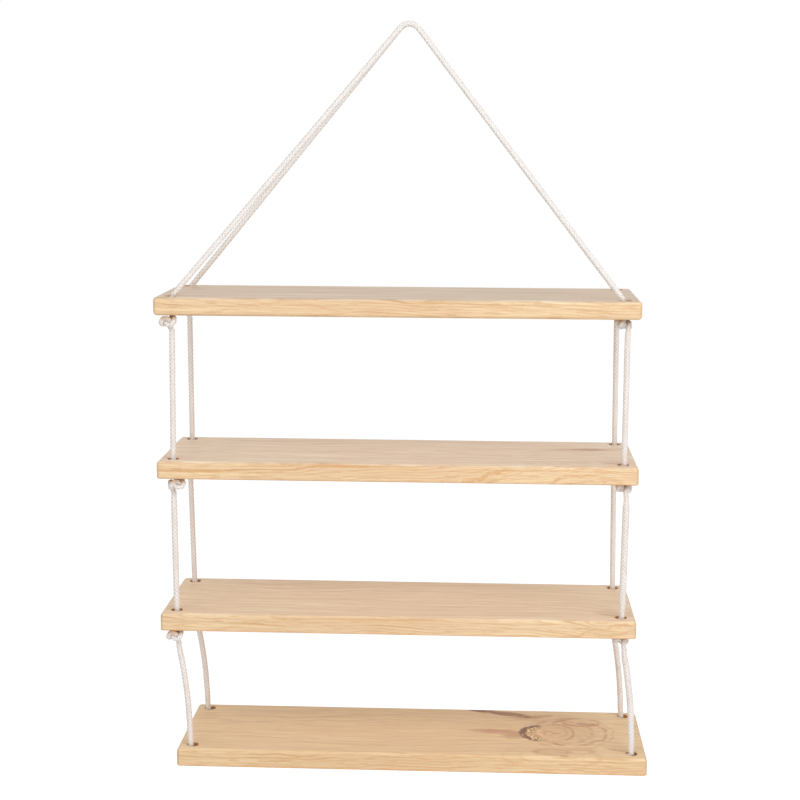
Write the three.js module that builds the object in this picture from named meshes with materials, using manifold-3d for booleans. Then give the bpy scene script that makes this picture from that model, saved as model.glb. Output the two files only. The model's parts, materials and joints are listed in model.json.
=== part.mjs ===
// Hanging rope shelf: four pine boards threaded on two ropes that pass over one hook.
// An overhand knot under each hole carries the board above it, and the free stretches of rope
// between the boards let every stage sway to the side while the boards stay level.
// Millimetres, +Z up, the long front edges face -Y. The origin is the underside of the ropes
// at the top of their bend, where they hang on the hook.
import * as THREE from 'three';
import { mergeVertices } from 'three/addons/utils/BufferGeometryUtils.js';
import Module from 'manifold-3d';

const wasm = await Module();
wasm.setup();

// The boards
const BOARD_LENGTH = 500;
const BOARD_DEPTH = 150;
const BOARD_THICKNESS = 19;
const TOP_EDGE_RADIUS = 4;
const BOTTOM_EDGE_RADIUS = 2;
const CORNER_RADIUS = 4;
const HOLE_FROM_END = 15.5;
const HOLE_FROM_EDGE = 15;
const CUT_OVERRUN = 2;

// The rope, and the room that it has
const ROPE_DIAMETER = 6;
const HOLE_CLEARANCE = 3.25;
const SEAT_GAP = 0.3;
const BEND_RADIUS = 12;
const POCKET_CLEARANCE = 0.4;
const POCKET_COVER = 0.5;

// Where the boards hang: down from the hook, and across from it
const HOOK_TO_TOP_BOARD = 276.4;
const TOP_BOARD_SHIFT = -8.9;
const UPPER_PITCH = 171;
const UPPER_SHIFT = 0.9;
const MIDDLE_PITCH = 163;
const MIDDLE_SHIFT = 1.5;
const LOWER_PITCH = 149;
const LOWER_SHIFT = 15;

// Where the rope runs, across from a hole's middle: the feet of the slings above the top board's
// holes, the rope inside those holes, and the slack rope where it enters the bottom board, and
// how far slack rope bows
const SLING_LEAN_IN = 5.1;
const TOP_ENTRY_LEAN_IN = 2.8;
const LOWER_ENTRY_SHIFT = -2.4;
const LOWER_SLACK_BOW = 2.5;

// Facets
const EDGE_SEGMENTS = 4;
const HOLE_SIDES = 20;
const ROPE_SIDES = 10;
const DOME_STEPS = 2;
const BOW_STEPS = 8;
const BEND_STEPS = 8;
const KNOT_SIDES = 7;
const KNOT_STEPS = 42;

// Half of the overhand knot's route, in rope diameters from the knot's middle: x towards the
// side that the knot hangs to, y along the board, z up. The other half is this one turned half
// round about x, which is how the two halves of an overhand knot lie in each other.
const KNOT_ROUTE_SHARES = [
  [-0.02, 0.64, 0.4],
  [0.1, 0.74, 0.2],
  [0.4, 0.86, -0.16],
  [1.06, 0.76, -0.34],
  [1.62, 0.5, 0.02],
  [2.16, 0.08, 0.5],
  [2.26, -0.78, 0.5],
  [2.18, -1.2, -0.02],
  [1.66, -1.24, -0.48],
  [1.04, -0.96, -0.56],
  [0.84, -0.32, -0.44],
];
const KNOT_TUBE_SHARE = 0.82;
const KNOT_HALF_HEIGHT_SHARE = 0.99;
const KNOT_LEAD_SHARE = 1.75;
const KNOT_ENTRY_SHARE = 0.6;
const KNOT_TAIL_SIDE_SHARE = 0.45;
const KNOT_MIDDLE_SHARE = 1.13;
const KNOT_REACH_SHARE = 2.01;

// Sizes that follow from these
const ropeRadius = ROPE_DIAMETER / 2;
const holeRadius = ropeRadius + HOLE_CLEARANCE;
const holeX = BOARD_LENGTH / 2 - HOLE_FROM_END;
const holeY = BOARD_DEPTH / 2 - HOLE_FROM_EDGE;
const knotHalfHeight = KNOT_HALF_HEIGHT_SHARE * ROPE_DIAMETER;
const pocketRadius = KNOT_REACH_SHARE * ROPE_DIAMETER + POCKET_CLEARANCE;
const pocketDepth = 2 * knotHalfHeight + POCKET_COVER + SEAT_GAP;
const pivotGap = ropeRadius + SEAT_GAP;

const pine = { color: 0xe8cfa4, roughness: 0.6, metalness: 0 };
const cotton = { color: 0xe9e1d2, roughness: 0.9, metalness: 0 };

// The four corners of a board, with the side that each hole lies on
const CORNERS = [
  { name: 'front_left', sideX: -1, sideY: -1 },
  { name: 'front_right', sideX: 1, sideY: -1 },
  { name: 'back_left', sideX: -1, sideY: 1 },
  { name: 'back_right', sideX: 1, sideY: 1 },
];

// The boards from the top down. A knot's turn, in degrees about Z, says which way it hangs from
// its rope: 0 is to the right, 180 to the left.
const BOARDS = [
  { name: 'top', knotTurns: { front_left: -95, front_right: 100, back_left: -30, back_right: 200 } },
  { name: 'second', knotTurns: { front_left: -60, front_right: 80, back_left: 200, back_right: -15 } },
  { name: 'third', knotTurns: { front_left: -95, front_right: 85, back_left: -15, back_right: 190 } },
  { name: 'bottom', knotTurns: { front_left: 45, front_right: 135, back_left: -45, back_right: -135 } },
];

// The free stretches of rope between one board and the next
const STAGES = [
  { name: 'upper', pitch: UPPER_PITCH, shift: UPPER_SHIFT, entryShift: 0, bow: 0 },
  { name: 'middle', pitch: MIDDLE_PITCH, shift: MIDDLE_SHIFT, entryShift: 0, bow: 0 },
  { name: 'lower', pitch: LOWER_PITCH, shift: LOWER_SHIFT, entryShift: LOWER_ENTRY_SHIFT, bow: LOWER_SLACK_BOW },
];

// A geometry as a solid for cutting, and a cut solid as a geometry again
function toSolid(geometry) {
  const bare = geometry.clone();
  bare.deleteAttribute('normal');
  bare.deleteAttribute('uv');
  const merged = mergeVertices(bare);
  const mesh = new wasm.Mesh({
    numProp: 3,
    vertProperties: new Float32Array(merged.attributes.position.array),
    triVerts: new Uint32Array(merged.index.array),
  });
  return new wasm.Manifold(mesh);
}

function toGeometry(solid) {
  const mesh = solid.getMesh();
  const geometry = new THREE.BufferGeometry();
  geometry.setAttribute('position', new THREE.BufferAttribute(new Float32Array(mesh.vertProperties), 3));
  geometry.setIndex([...mesh.triVerts]);
  geometry.computeVertexNormals();
  return geometry;
}

// A rectangle centred on the first axis and standing on the second, with its own radius at the
// two low corners and at the two high ones
function roundedOutline(width, height, lowRadius, highRadius) {
  const half = width / 2;
  const shape = new THREE.Shape();
  shape.absarc(half - lowRadius, lowRadius, lowRadius, -Math.PI / 2, 0);
  shape.absarc(half - highRadius, height - highRadius, highRadius, 0, Math.PI / 2);
  shape.absarc(-half + highRadius, height - highRadius, highRadius, Math.PI / 2, Math.PI);
  shape.absarc(-half + lowRadius, lowRadius, lowRadius, Math.PI, 1.5 * Math.PI);
  return shape;
}

function extrudeOutline(shape, length) {
  const options = { depth: length, bevelEnabled: false, curveSegments: EDGE_SEGMENTS };
  return new THREE.ExtrudeGeometry(shape, options).translate(0, 0, -length / 2);
}

// The planed plank: its section along the length, its section across the ends and its plan,
// each run through the other two, so that every edge is rounded over. Its top lies at z = 0.
function plankSolid() {
  const section = roundedOutline(BOARD_DEPTH, BOARD_THICKNESS, BOTTOM_EDGE_RADIUS, TOP_EDGE_RADIUS);
  const along = extrudeOutline(section, BOARD_LENGTH + CUT_OVERRUN);
  along.rotateX(Math.PI / 2).rotateZ(Math.PI / 2).translate(0, 0, -BOARD_THICKNESS);

  const endSection = roundedOutline(BOARD_LENGTH, BOARD_THICKNESS, BOTTOM_EDGE_RADIUS, TOP_EDGE_RADIUS);
  const across = extrudeOutline(endSection, BOARD_DEPTH + CUT_OVERRUN);
  across.rotateX(Math.PI / 2).translate(0, 0, -BOARD_THICKNESS);

  const plan = roundedOutline(BOARD_LENGTH, BOARD_DEPTH, CORNER_RADIUS, CORNER_RADIUS);
  const down = extrudeOutline(plan, BOARD_THICKNESS + CUT_OVERRUN);
  down.translate(0, -BOARD_DEPTH / 2, -BOARD_THICKNESS / 2);

  return toSolid(along).intersect(toSolid(across)).intersect(toSolid(down));
}

// An upright drill from one height up to another
function drill(radius, x, y, low, high) {
  const bit = new THREE.CylinderGeometry(radius, radius, high - low, HOLE_SIDES);
  bit.rotateX(Math.PI / 2).translate(x, y, (low + high) / 2);
  return toSolid(bit);
}

// Where a knot's middle lies from its rope's line, as a unit of its turn
function knotSide(turn) {
  const angle = THREE.MathUtils.degToRad(turn);
  return { x: Math.cos(angle), y: Math.sin(angle) };
}

// A board: the plank with its four rope holes and, in the bottom board, the pockets that take
// the last knots so that it can stand flat
function boardGeometry(board, hasPockets) {
  let solid = plankSolid();
  const underside = -BOARD_THICKNESS;
  for (const corner of CORNERS) {
    const x = corner.sideX * holeX;
    const y = corner.sideY * holeY;
    solid = solid.subtract(drill(holeRadius, x, y, underside - CUT_OVERRUN, CUT_OVERRUN));
    if (hasPockets) {
      const side = knotSide(board.knotTurns[corner.name]);
      const reach = KNOT_MIDDLE_SHARE * ROPE_DIAMETER;
      const pocket = drill(
        pocketRadius, x + side.x * reach, y + side.y * reach,
        underside - CUT_OVERRUN, underside + pocketDepth,
      );
      solid = solid.subtract(pocket);
    }
  }
  return toGeometry(solid);
}

// A round section with flat sides, for the ropes
function roundSection(diameter, sides) {
  const points = [];
  for (let i = 0; i < sides; i += 1) {
    const angle = (2 * Math.PI * i) / sides;
    points.push(new THREE.Vector2(Math.cos(angle) * diameter / 2, Math.sin(angle) * diameter / 2));
  }
  return new THREE.Shape(points);
}

// An overhand knot with its lead up through the hole, as one tube. Its middle is the origin.
// lead is the point where the rope comes in, upright, at the board's top, and goesOn says that
// the rope goes on down to the next board instead of ending in the knot.
function knotCurve(lead, goesOn) {
  const half = KNOT_ROUTE_SHARES.map(([x, y, z]) => new THREE.Vector3(x, y, z).multiplyScalar(ROPE_DIAMETER));
  const turned = half.map((p) => new THREE.Vector3(p.x, -p.y, -p.z)).reverse();
  const straight = KNOT_LEAD_SHARE * ROPE_DIAMETER;
  const entered = lead.clone();
  entered.z -= KNOT_ENTRY_SHARE * ROPE_DIAMETER;
  const points = [lead, entered];
  if (lead.z > 1.5 * straight) points.push(new THREE.Vector3(0, 0, straight));
  points.push(...half, ...turned);
  if (goesOn) {
    points.push(new THREE.Vector3(0, 0, -straight));
  } else {
    points.push(new THREE.Vector3(0, -KNOT_TAIL_SIDE_SHARE * ROPE_DIAMETER, -knotHalfHeight));
  }
  return new THREE.CatmullRomCurve3(points, false, 'centripetal');
}

function knotGeometry(curve) {
  const section = roundSection(KNOT_TUBE_SHARE * ROPE_DIAMETER, KNOT_SIDES);
  return new THREE.ExtrudeGeometry(section, { steps: KNOT_STEPS, bevelEnabled: false, extrudePath: curve });
}

// The least gap that a knot's tube leaves to itself, on points along its route
function leastGap(curve) {
  const steps = 400;
  const points = curve.getSpacedPoints(steps);
  const skip = Math.ceil((1.35 * ROPE_DIAMETER * steps) / curve.getLength());
  let least = Infinity;
  for (let i = 0; i <= steps; i += 1) {
    for (let j = i + skip; j <= steps; j += 1) {
      least = Math.min(least, points[i].distanceTo(points[j]));
    }
  }
  return least - KNOT_TUBE_SHARE * ROPE_DIAMETER;
}

// A free stretch of rope from the origin down, with round ends about its two turning points,
// bowed to +X in its middle where it is slack
function stretchGeometry(length, bow) {
  const profile = [];
  const arcs = 2 * DOME_STEPS;
  for (let i = 0; i <= DOME_STEPS; i += 1) {
    const angle = (Math.PI * i) / arcs;
    profile.push(new THREE.Vector2(Math.sin(angle) * ropeRadius, -Math.cos(angle) * ropeRadius));
  }
  const rings = bow > 0 ? BOW_STEPS : 1;
  for (let i = 1; i < rings; i += 1) {
    profile.push(new THREE.Vector2(ropeRadius, (length * i) / rings));
  }
  for (let i = DOME_STEPS; i >= 0; i -= 1) {
    const angle = (Math.PI * i) / arcs;
    profile.push(new THREE.Vector2(Math.sin(angle) * ropeRadius, length + Math.cos(angle) * ropeRadius));
  }
  profile[0].x = 0;
  profile[profile.length - 1].x = 0;
  const geometry = new THREE.LatheGeometry(profile, ROPE_SIDES);
  const position = geometry.attributes.position;
  for (let i = 0; i < position.count; i += 1) {
    const along = THREE.MathUtils.clamp(position.getY(i) / length, 0, 1);
    position.setX(i, position.getX(i) + bow * Math.sin(Math.PI * along));
  }
  return geometry.rotateX(-Math.PI / 2);
}

function named(name, geometry, finish) {
  const mesh = new THREE.Mesh(geometry, new THREE.MeshStandardMaterial(finish));
  mesh.name = name;
  return mesh;
}

// A stretch of rope between two points, with its round ends about them
function ropeBetween(name, from, to, bow) {
  const run = to.clone().sub(from);
  const mesh = named(name, stretchGeometry(run.length(), bow), cotton);
  mesh.position.copy(from);
  mesh.quaternion.setFromUnitVectors(new THREE.Vector3(0, 0, -1), run.normalize());
  return mesh;
}

// One board with its knots, in its own group: the board's top middle is the group's origin
function boardGroup(board, entryShift) {
  const group = new THREE.Group();
  const isTop = board === BOARDS[0];
  const isBottom = board === BOARDS[BOARDS.length - 1];
  group.add(named(`${board.name}_board`, boardGeometry(board, isBottom), pine));

  const below = -BOARD_THICKNESS - SEAT_GAP - knotHalfHeight;
  const inPocket = -BOARD_THICKNESS + POCKET_COVER + knotHalfHeight;
  const middle = isBottom ? inPocket : below;
  for (const corner of CORNERS) {
    const turn = THREE.MathUtils.degToRad(board.knotTurns[corner.name]);
    const across = isTop ? -corner.sideX * TOP_ENTRY_LEAN_IN : entryShift;
    const lead = new THREE.Vector3(across, 0, -middle);
    lead.applyAxisAngle(new THREE.Vector3(0, 0, 1), -turn);
    const knot = named(`${board.name}_${corner.name}_knot`, knotGeometry(knotCurve(lead, !isBottom)), cotton);
    knot.position.set(corner.sideX * holeX, corner.sideY * holeY, middle);
    knot.rotation.z = turn;
    group.add(knot);
  }
  return group;
}

// The four free stretches of one stage, between the knots of one board and the holes of the next
function stageGroup(stage, upperBoard, lowerBoard) {
  const group = new THREE.Group();
  const knotEnd = SEAT_GAP + knotHalfHeight + KNOT_LEAD_SHARE * ROPE_DIAMETER;
  for (const corner of CORNERS) {
    const hole = new THREE.Vector3(corner.sideX * holeX, corner.sideY * holeY, 0);
    const from = upperBoard.clone().add(hole);
    from.z -= BOARD_THICKNESS + knotEnd + pivotGap;
    const to = lowerBoard.clone().add(hole);
    to.x += stage.entryShift;
    to.z += pivotGap;
    group.add(ropeBetween(`${stage.name}_${corner.name}_rope`, from, to, stage.bow));
  }
  return group;
}

// The bend of a rope over the hook: an arc about the hook's middle, between the two angles
class HookBend extends THREE.Curve {
  constructor(y, fromAngle, toAngle) {
    super();
    this.y = y;
    this.fromAngle = fromAngle;
    this.toAngle = toAngle;
  }

  getPoint(t, target = new THREE.Vector3()) {
    const angle = this.fromAngle + (this.toAngle - this.fromAngle) * t;
    const x = BEND_RADIUS * Math.cos(angle);
    const z = BEND_RADIUS * Math.sin(angle) - (BEND_RADIUS - ropeRadius);
    return target.set(x, this.y, z);
  }
}

// One rope's sling: its bend over the hook and its two legs down to the top board's holes
function slingGroup(name, sideY, topBoard) {
  const group = new THREE.Group();
  const bendY = sideY * (ropeRadius + SEAT_GAP / 2);
  const hookZ = -(BEND_RADIUS - ropeRadius);
  const ends = [-1, 1].map((sideX) => {
    const foot = topBoard.clone();
    foot.x += sideX * (holeX - SLING_LEAN_IN);
    foot.y += sideY * holeY;
    foot.z += pivotGap;
    const reach = Math.hypot(foot.x, foot.z - hookZ);
    const slope = Math.atan2(foot.z - hookZ, foot.x);
    const angle = slope + sideX * Math.acos(BEND_RADIUS / reach);
    const rise = sideX < 0 ? angle + 2 * Math.PI : angle;
    return { sideX, foot, angle: rise };
  });
  const bend = new HookBend(bendY, ends[0].angle, ends[1].angle);
  const options = { steps: BEND_STEPS, bevelEnabled: false, extrudePath: bend };
  const section = roundSection(ROPE_DIAMETER, ROPE_SIDES);
  group.add(named(`${name}_rope_bend`, new THREE.ExtrudeGeometry(section, options), cotton));
  for (const end of ends) {
    const start = bend.getPoint(end.sideX < 0 ? 0 : 1);
    const leave = new THREE.Vector3(end.sideX * Math.abs(Math.sin(end.angle)), 0, -Math.abs(Math.cos(end.angle)));
    start.addScaledVector(leave, pivotGap);
    const side = end.sideX < 0 ? 'left' : 'right';
    group.add(ropeBetween(`${name}_rope_${side}_leg`, start, end.foot, 0));
  }
  return group;
}

const shelf = new THREE.Group();
const boardTop = new THREE.Vector3(TOP_BOARD_SHIFT, 0, -HOOK_TO_TOP_BOARD);
shelf.add(slingGroup('front', -1, boardTop));
shelf.add(slingGroup('back', 1, boardTop));
BOARDS.forEach((board, level) => {
  const stage = STAGES[level - 1];
  if (stage) {
    const upperBoard = boardTop.clone();
    boardTop.x += stage.shift;
    boardTop.z -= stage.pitch;
    shelf.add(stageGroup(stage, upperBoard, boardTop));
  }
  const group = boardGroup(board, stage ? stage.entryShift : 0);
  group.position.copy(boardTop);
  shelf.add(group);
});

const straightLead = new THREE.Vector3(0, 0, BOARD_THICKNESS + SEAT_GAP + knotHalfHeight);
console.log('least gap of a knot to itself, mm:', leastGap(knotCurve(straightLead, true)).toFixed(2));

export default shelf;
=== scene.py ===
# %% [markdown]
# # A hanging rope shelf
# Four planed pine boards hang on two cotton ropes that pass over one hook. An overhand knot
# under each hole carries the board above it. This lesson dresses the plain model of that shelf:
# first the camera and the ropes, then the boards, the finishes, the room and the light.
# The plain model is loaded as a fixed frame, in metres, and the slings, the boards and the end
# knots ride on its moving bodies.

# %% Load the frame
import json
import math
from functools import partial

import bpy
from mathutils import Matrix, Vector

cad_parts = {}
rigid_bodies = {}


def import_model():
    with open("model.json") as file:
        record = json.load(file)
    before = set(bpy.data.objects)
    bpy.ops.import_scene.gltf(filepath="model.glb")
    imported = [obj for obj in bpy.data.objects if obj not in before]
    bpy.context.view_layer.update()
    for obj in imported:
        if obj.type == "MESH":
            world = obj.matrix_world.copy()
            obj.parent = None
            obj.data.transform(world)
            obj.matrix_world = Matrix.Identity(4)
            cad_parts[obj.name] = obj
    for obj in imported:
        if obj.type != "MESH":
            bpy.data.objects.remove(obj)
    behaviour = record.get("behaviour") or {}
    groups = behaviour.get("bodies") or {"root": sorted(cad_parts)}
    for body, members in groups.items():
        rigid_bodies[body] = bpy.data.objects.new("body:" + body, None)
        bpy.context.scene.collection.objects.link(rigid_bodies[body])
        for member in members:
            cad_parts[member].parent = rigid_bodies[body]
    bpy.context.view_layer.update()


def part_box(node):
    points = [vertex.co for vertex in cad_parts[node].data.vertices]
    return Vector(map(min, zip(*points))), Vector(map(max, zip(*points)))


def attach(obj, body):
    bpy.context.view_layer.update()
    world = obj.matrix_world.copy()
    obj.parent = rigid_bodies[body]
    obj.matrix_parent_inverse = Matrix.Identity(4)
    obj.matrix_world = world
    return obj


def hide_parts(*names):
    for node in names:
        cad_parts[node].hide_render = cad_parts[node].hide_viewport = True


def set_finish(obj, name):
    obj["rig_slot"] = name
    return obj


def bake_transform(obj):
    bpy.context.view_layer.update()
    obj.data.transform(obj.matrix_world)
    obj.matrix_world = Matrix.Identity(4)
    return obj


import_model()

# %% [markdown]
# ## The camera
# The camera stands a little right of the shelf and a hand's width below the hook, 1.8 m in
# front, and looks slightly down. Its place was found by matching the corners and holes of the
# boards, so it turns about three axes in this order: the lean of the picture, the look down, and
# the turn to the left.

# %% The camera
CAMERA_PLACE = Vector((0.07953, -1.83762, -0.10667))
CAMERA_TURN = math.radians(2.722)
CAMERA_LOOK_DOWN = math.radians(8.801)
CAMERA_LEAN = math.radians(0.280)
PICTURE_WIDTH = 800
FOCAL_LENGTH_IN_PICTURE = 1738.68
SENSOR_WIDTH = 36


def deselect_all():
    """Lets go of everything, because an operator acts on all that is selected."""
    bpy.ops.object.select_all(action="DESELECT")


deselect_all()
bpy.ops.object.camera_add()
camera = bpy.context.object
camera.matrix_world = (
    Matrix.Translation(CAMERA_PLACE)
    @ Matrix.Rotation(CAMERA_TURN, 4, "Z")
    @ Matrix.Rotation(math.radians(90) - CAMERA_LOOK_DOWN, 4, "X")
    @ Matrix.Rotation(CAMERA_LEAN, 4, "Z")
)
camera.data.sensor_fit = "HORIZONTAL"
camera.data.sensor_width = SENSOR_WIDTH
camera.data.lens = FOCAL_LENGTH_IN_PICTURE / PICTURE_WIDTH * SENSOR_WIDTH
bpy.context.scene.camera = camera
print("lens, mm:", round(camera.data.lens, 2))

# %% [markdown]
# ## Where the boards and holes are
# The ropes are laid from hole to hole, so the first numbers are those of the boards. Lengths
# are written in millimetres, as on a workshop drawing, and MM turns them into metres. The place
# of each board is read from the frame and not written down twice.

# %% Boards and holes
MM = 0.001
BOARD_LENGTH = 500 * MM
BOARD_DEPTH = 150 * MM
BOARD_THICKNESS = 19 * MM
HOLE_X = 234.5 * MM
HOLE_Y = 60 * MM
LEVELS = ("top", "second", "third", "bottom")
CORNERS = {
    "front_left": (-1, -1),
    "front_right": (1, -1),
    "back_left": (-1, 1),
    "back_right": (1, 1),
}


def board_place(level):
    """The middle of a board's top face at rest."""
    low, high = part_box(f"{level}_board")
    return Vector(((low.x + high.x) / 2, (low.y + high.y) / 2, high.z))


PLACES = {level: board_place(level) for level in LEVELS}
for level, place in PLACES.items():
    print(level, "board's top:", [round(v / MM, 1) for v in place])

# %% [markdown]
# ## A smooth route for a rope
# A rope takes the bends that it is given but never a corner. So a route is written as a few
# points, and a Catmull-Rom curve runs through all of them. The curve's knots are spaced by the
# square root of the distance, which keeps it from looping where points lie close together. It
# comes back as points about 0.8 mm apart.

# %% Smooth routes
ROUTE_STEP = 0.8 * MM


def smooth_route(points):
    """Points about ROUTE_STEP apart on the smooth curve through the given ones."""
    ends = [points[0] * 2 - points[1], *points, points[-1] * 2 - points[-2]]
    route = [points[0].copy()]
    for a, b, c, d in zip(ends, ends[1:], ends[2:], ends[3:]):
        ta = 0
        tb = ta + math.sqrt((b - a).length)
        tc = tb + math.sqrt((c - b).length)
        td = tc + math.sqrt((d - c).length)
        steps = max(1, round((c - b).length / ROUTE_STEP))
        for i in range(1, steps + 1):
            t = tb + (tc - tb) * i / steps
            ab = a.lerp(b, (t - ta) / (tb - ta))
            bc = b.lerp(c, (t - tb) / (tc - tb))
            cd = c.lerp(d, (t - tc) / (td - tc))
            abc = ab.lerp(bc, (t - ta) / (tc - ta))
            bcd = bc.lerp(cd, (t - tb) / (td - tb))
            route.append(abc.lerp(bcd, (t - tb) / (tc - tb)))
    return route


def route_length(route):
    return sum((b - a).length for a, b in zip(route, route[1:]))


# %% [markdown]
# ## One patch of the weave
# The rope is a diamond braid: two families of strands wind round it, one to the left and one to
# the right, and each strand goes over the next crossing one and under the one after. That
# pattern repeats every quarter of a strand's turn, so it is modelled once, as a flat patch of
# grid that is raised where a strand lies and then rolled up into a sleeve. Eight separate
# strands would need many more faces and hide most of them inside.

# %% The height of the weave
ROPE_DIAMETER = 6 * MM
STRANDS_EACH_WAY = 4
PATCH_LENGTH = 4.3 * MM
STRAND_HEIGHT = 0.8 * MM
OVER_AND_UNDER = 0.22 * MM


def strand_crown(across):
    """A strand's round back: 1 along its middle line, 0 at its sides."""
    offset = 2 * (across - round(across))
    return math.sqrt(1 - offset * offset)


def weave_height(along, around):
    """How far the weave stands out of its core, at shares of the patch's length and turn."""
    over = math.cos(2 * math.pi * along) * OVER_AND_UNDER
    leftward = strand_crown(around * STRANDS_EACH_WAY - along) * STRAND_HEIGHT + over
    rightward = strand_crown(around * STRANDS_EACH_WAY + along) * STRAND_HEIGHT - over
    return max(leftward, rightward)


WEAVE_TOP = STRAND_HEIGHT + OVER_AND_UNDER
CORE_RADIUS = ROPE_DIAMETER / 2 - WEAVE_TOP
print("core of the rope, mm:", round(CORE_RADIUS / MM, 2))

# %% Roll the patch up
PATCH_RINGS = 10
PATCH_SIDES = 32
MERGE_DISTANCE = 0.01 * MM


def pick(obj):
    """Makes one object the active one and the only one selected."""
    deselect_all()
    obj.select_set(True)
    bpy.context.view_layer.objects.active = obj


def to_mode(mode):
    """Opens the active object for editing, or closes it again."""
    bpy.ops.object.mode_set(mode=mode)


def in_edit_mode(obj):
    """Opens one object for editing, with nothing else selected."""
    pick(obj)
    to_mode("EDIT")


def braid_patch():
    """One repeat of the sleeve along X, with its weave height kept as an attribute."""
    deselect_all()
    bpy.ops.mesh.primitive_grid_add(x_subdivisions=PATCH_RINGS, y_subdivisions=PATCH_SIDES, size=1)
    patch = bpy.context.object
    patch.name = "braid_patch"
    crown = patch.data.attributes.new("crown", "FLOAT", "POINT")
    for vertex in patch.data.vertices:
        along = vertex.co.x + 0.5
        around = vertex.co.y + 0.5
        height = weave_height(along, around)
        radius = CORE_RADIUS + height
        angle = -2 * math.pi * around
        vertex.co = (along * PATCH_LENGTH, radius * math.cos(angle), radius * math.sin(angle))
        crown.data[vertex.index].value = height / WEAVE_TOP
    in_edit_mode(patch)
    bpy.ops.mesh.select_all(action="SELECT")
    bpy.ops.mesh.remove_doubles(threshold=MERGE_DISTANCE)
    bpy.ops.mesh.normals_make_consistent(inside=False)
    to_mode("OBJECT")
    return patch


patch = braid_patch()
print("faces in one patch:", len(patch.data.polygons))

# %% [markdown]
# ## Laying a rope along its route
# An Array repeats the patch for the whole length, and a Curve modifier bends the straight braid
# along the route. The radius of the curve's points makes the rope thinner where a tight knot
# squeezes it and fuller where it is free. Then both are applied, the guide is removed and the
# two ends are closed.

# %% Lay a rope
def guide_curve(route, thicknesses):
    """The curve that a rope follows, with a thickness for each point."""
    data = bpy.data.curves.new("guide", "CURVE")
    data.dimensions = "3D"
    data.twist_mode = "MINIMUM"
    data.use_radius = True
    spline = data.splines.new("POLY")
    spline.points.add(len(route) - 1)
    for point, place, thickness in zip(spline.points, route, thicknesses):
        point.co = (*place, 1)
        point.radius = thickness
    guide = bpy.data.objects.new("guide", data)
    bpy.context.collection.objects.link(guide)
    return guide


def lay_rope(name, route, thicknesses=None):
    """The braid, bent along a route, as one closed mesh."""
    guide = guide_curve(route, thicknesses or [1] * len(route))
    length = route_length(route)
    repeats = max(1, round(length / PATCH_LENGTH))
    rope = bpy.data.objects.new(name, patch.data.copy())
    bpy.context.collection.objects.link(rope)
    stretch = length / (repeats * PATCH_LENGTH)
    rope.data.transform(Matrix.Diagonal((stretch, 1, 1, 1)))
    pick(rope)
    row = rope.modifiers.new("repeat", "ARRAY")
    row.count = repeats
    row.use_relative_offset = False
    row.use_constant_offset = True
    row.constant_offset_displace = (stretch * PATCH_LENGTH, 0, 0)
    row.offset_u = 1
    row.use_merge_vertices = True
    row.merge_threshold = MERGE_DISTANCE
    bend = rope.modifiers.new("follow the route", "CURVE")
    bend.object = guide
    bend.deform_axis = "POS_X"
    bpy.ops.object.modifier_apply(modifier=row.name)
    bpy.ops.object.modifier_apply(modifier=bend.name)
    bpy.data.objects.remove(guide)
    in_edit_mode(rope)
    bpy.ops.mesh.select_all(action="SELECT")
    bpy.ops.mesh.fill_holes(sides=0)
    bpy.ops.mesh.faces_shade_smooth()
    to_mode("OBJECT")
    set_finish(rope, "cotton_rope")
    return rope


# %% [markdown]
# ## The slings over the hook
# Each rope runs up from one hole of the top board, over the hook and down to the other hole.
# The bend is an arc round the hook, and the legs leave it straight, because they carry the whole
# shelf. At the hole a leg turns down over the hole's inner rim and ends out of sight inside,
# where the rope of the knot below takes over.

# %% The two slings
BEND_RADIUS = 12 * MM
BEND_POINTS = 9
LEG_POINTS = 8
SLING_LEAN_IN = 5.1 * MM
TOP_ENTRY_LEAN_IN = 2.8 * MM
PIVOT_GAP = 3.3 * MM
HIDDEN_END = 4 * MM
BEND_SPREAD = 3.15 * MM
HOOK_MIDDLE = Vector((0, 0, -(BEND_RADIUS - ROPE_DIAMETER / 2)))


def sling_foot(side_x, side_y):
    """Where a sling's leg ends above its hole."""
    return PLACES["top"] + Vector((side_x * (HOLE_X - SLING_LEAN_IN), side_y * HOLE_Y, PIVOT_GAP))


def touch_angle(foot, side_x):
    """The angle about the hook's middle at which a straight leg leaves the bend."""
    x, z = foot.x - HOOK_MIDDLE.x, foot.z - HOOK_MIDDLE.z
    angle = math.atan2(z, x) + side_x * math.acos(BEND_RADIUS / math.hypot(x, z))
    return angle + 2 * math.pi if side_x < 0 else angle


def sling_route(side_y):
    """From inside the left hole, over the hook, to inside the right hole."""
    feet = {side: sling_foot(side, side_y) for side in (-1, 1)}
    first, last = (touch_angle(feet[side], side) for side in (-1, 1))
    bend = []
    for i in range(BEND_POINTS):
        angle = first + (last - first) * i / (BEND_POINTS - 1)
        bend.append(HOOK_MIDDLE + BEND_RADIUS * Vector((math.cos(angle), 0, math.sin(angle))))
        bend[-1].y = side_y * BEND_SPREAD
    legs = {}
    for side, top in ((-1, bend[0]), (1, bend[-1])):
        foot = feet[side]
        leg = [foot.lerp(top, i / LEG_POINTS) for i in range(LEG_POINTS)]
        entry = side * (SLING_LEAN_IN - TOP_ENTRY_LEAN_IN)
        leg.insert(0, foot + Vector((entry, 0, -PIVOT_GAP)))
        leg.insert(0, foot + Vector((entry, 0, -(PIVOT_GAP + HIDDEN_END))))
        legs[side] = leg
    return smooth_route([*legs[-1], *bend, *reversed(legs[1])])


for name, side_y in (("front", -1), ("back", 1)):
    route = sling_route(side_y)
    sling = lay_rope(f"{name}_rope_sling", route)
    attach(sling, "top_shelf")
    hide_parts(f"{name}_rope_bend", f"{name}_rope_left_leg", f"{name}_rope_right_leg")

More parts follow.
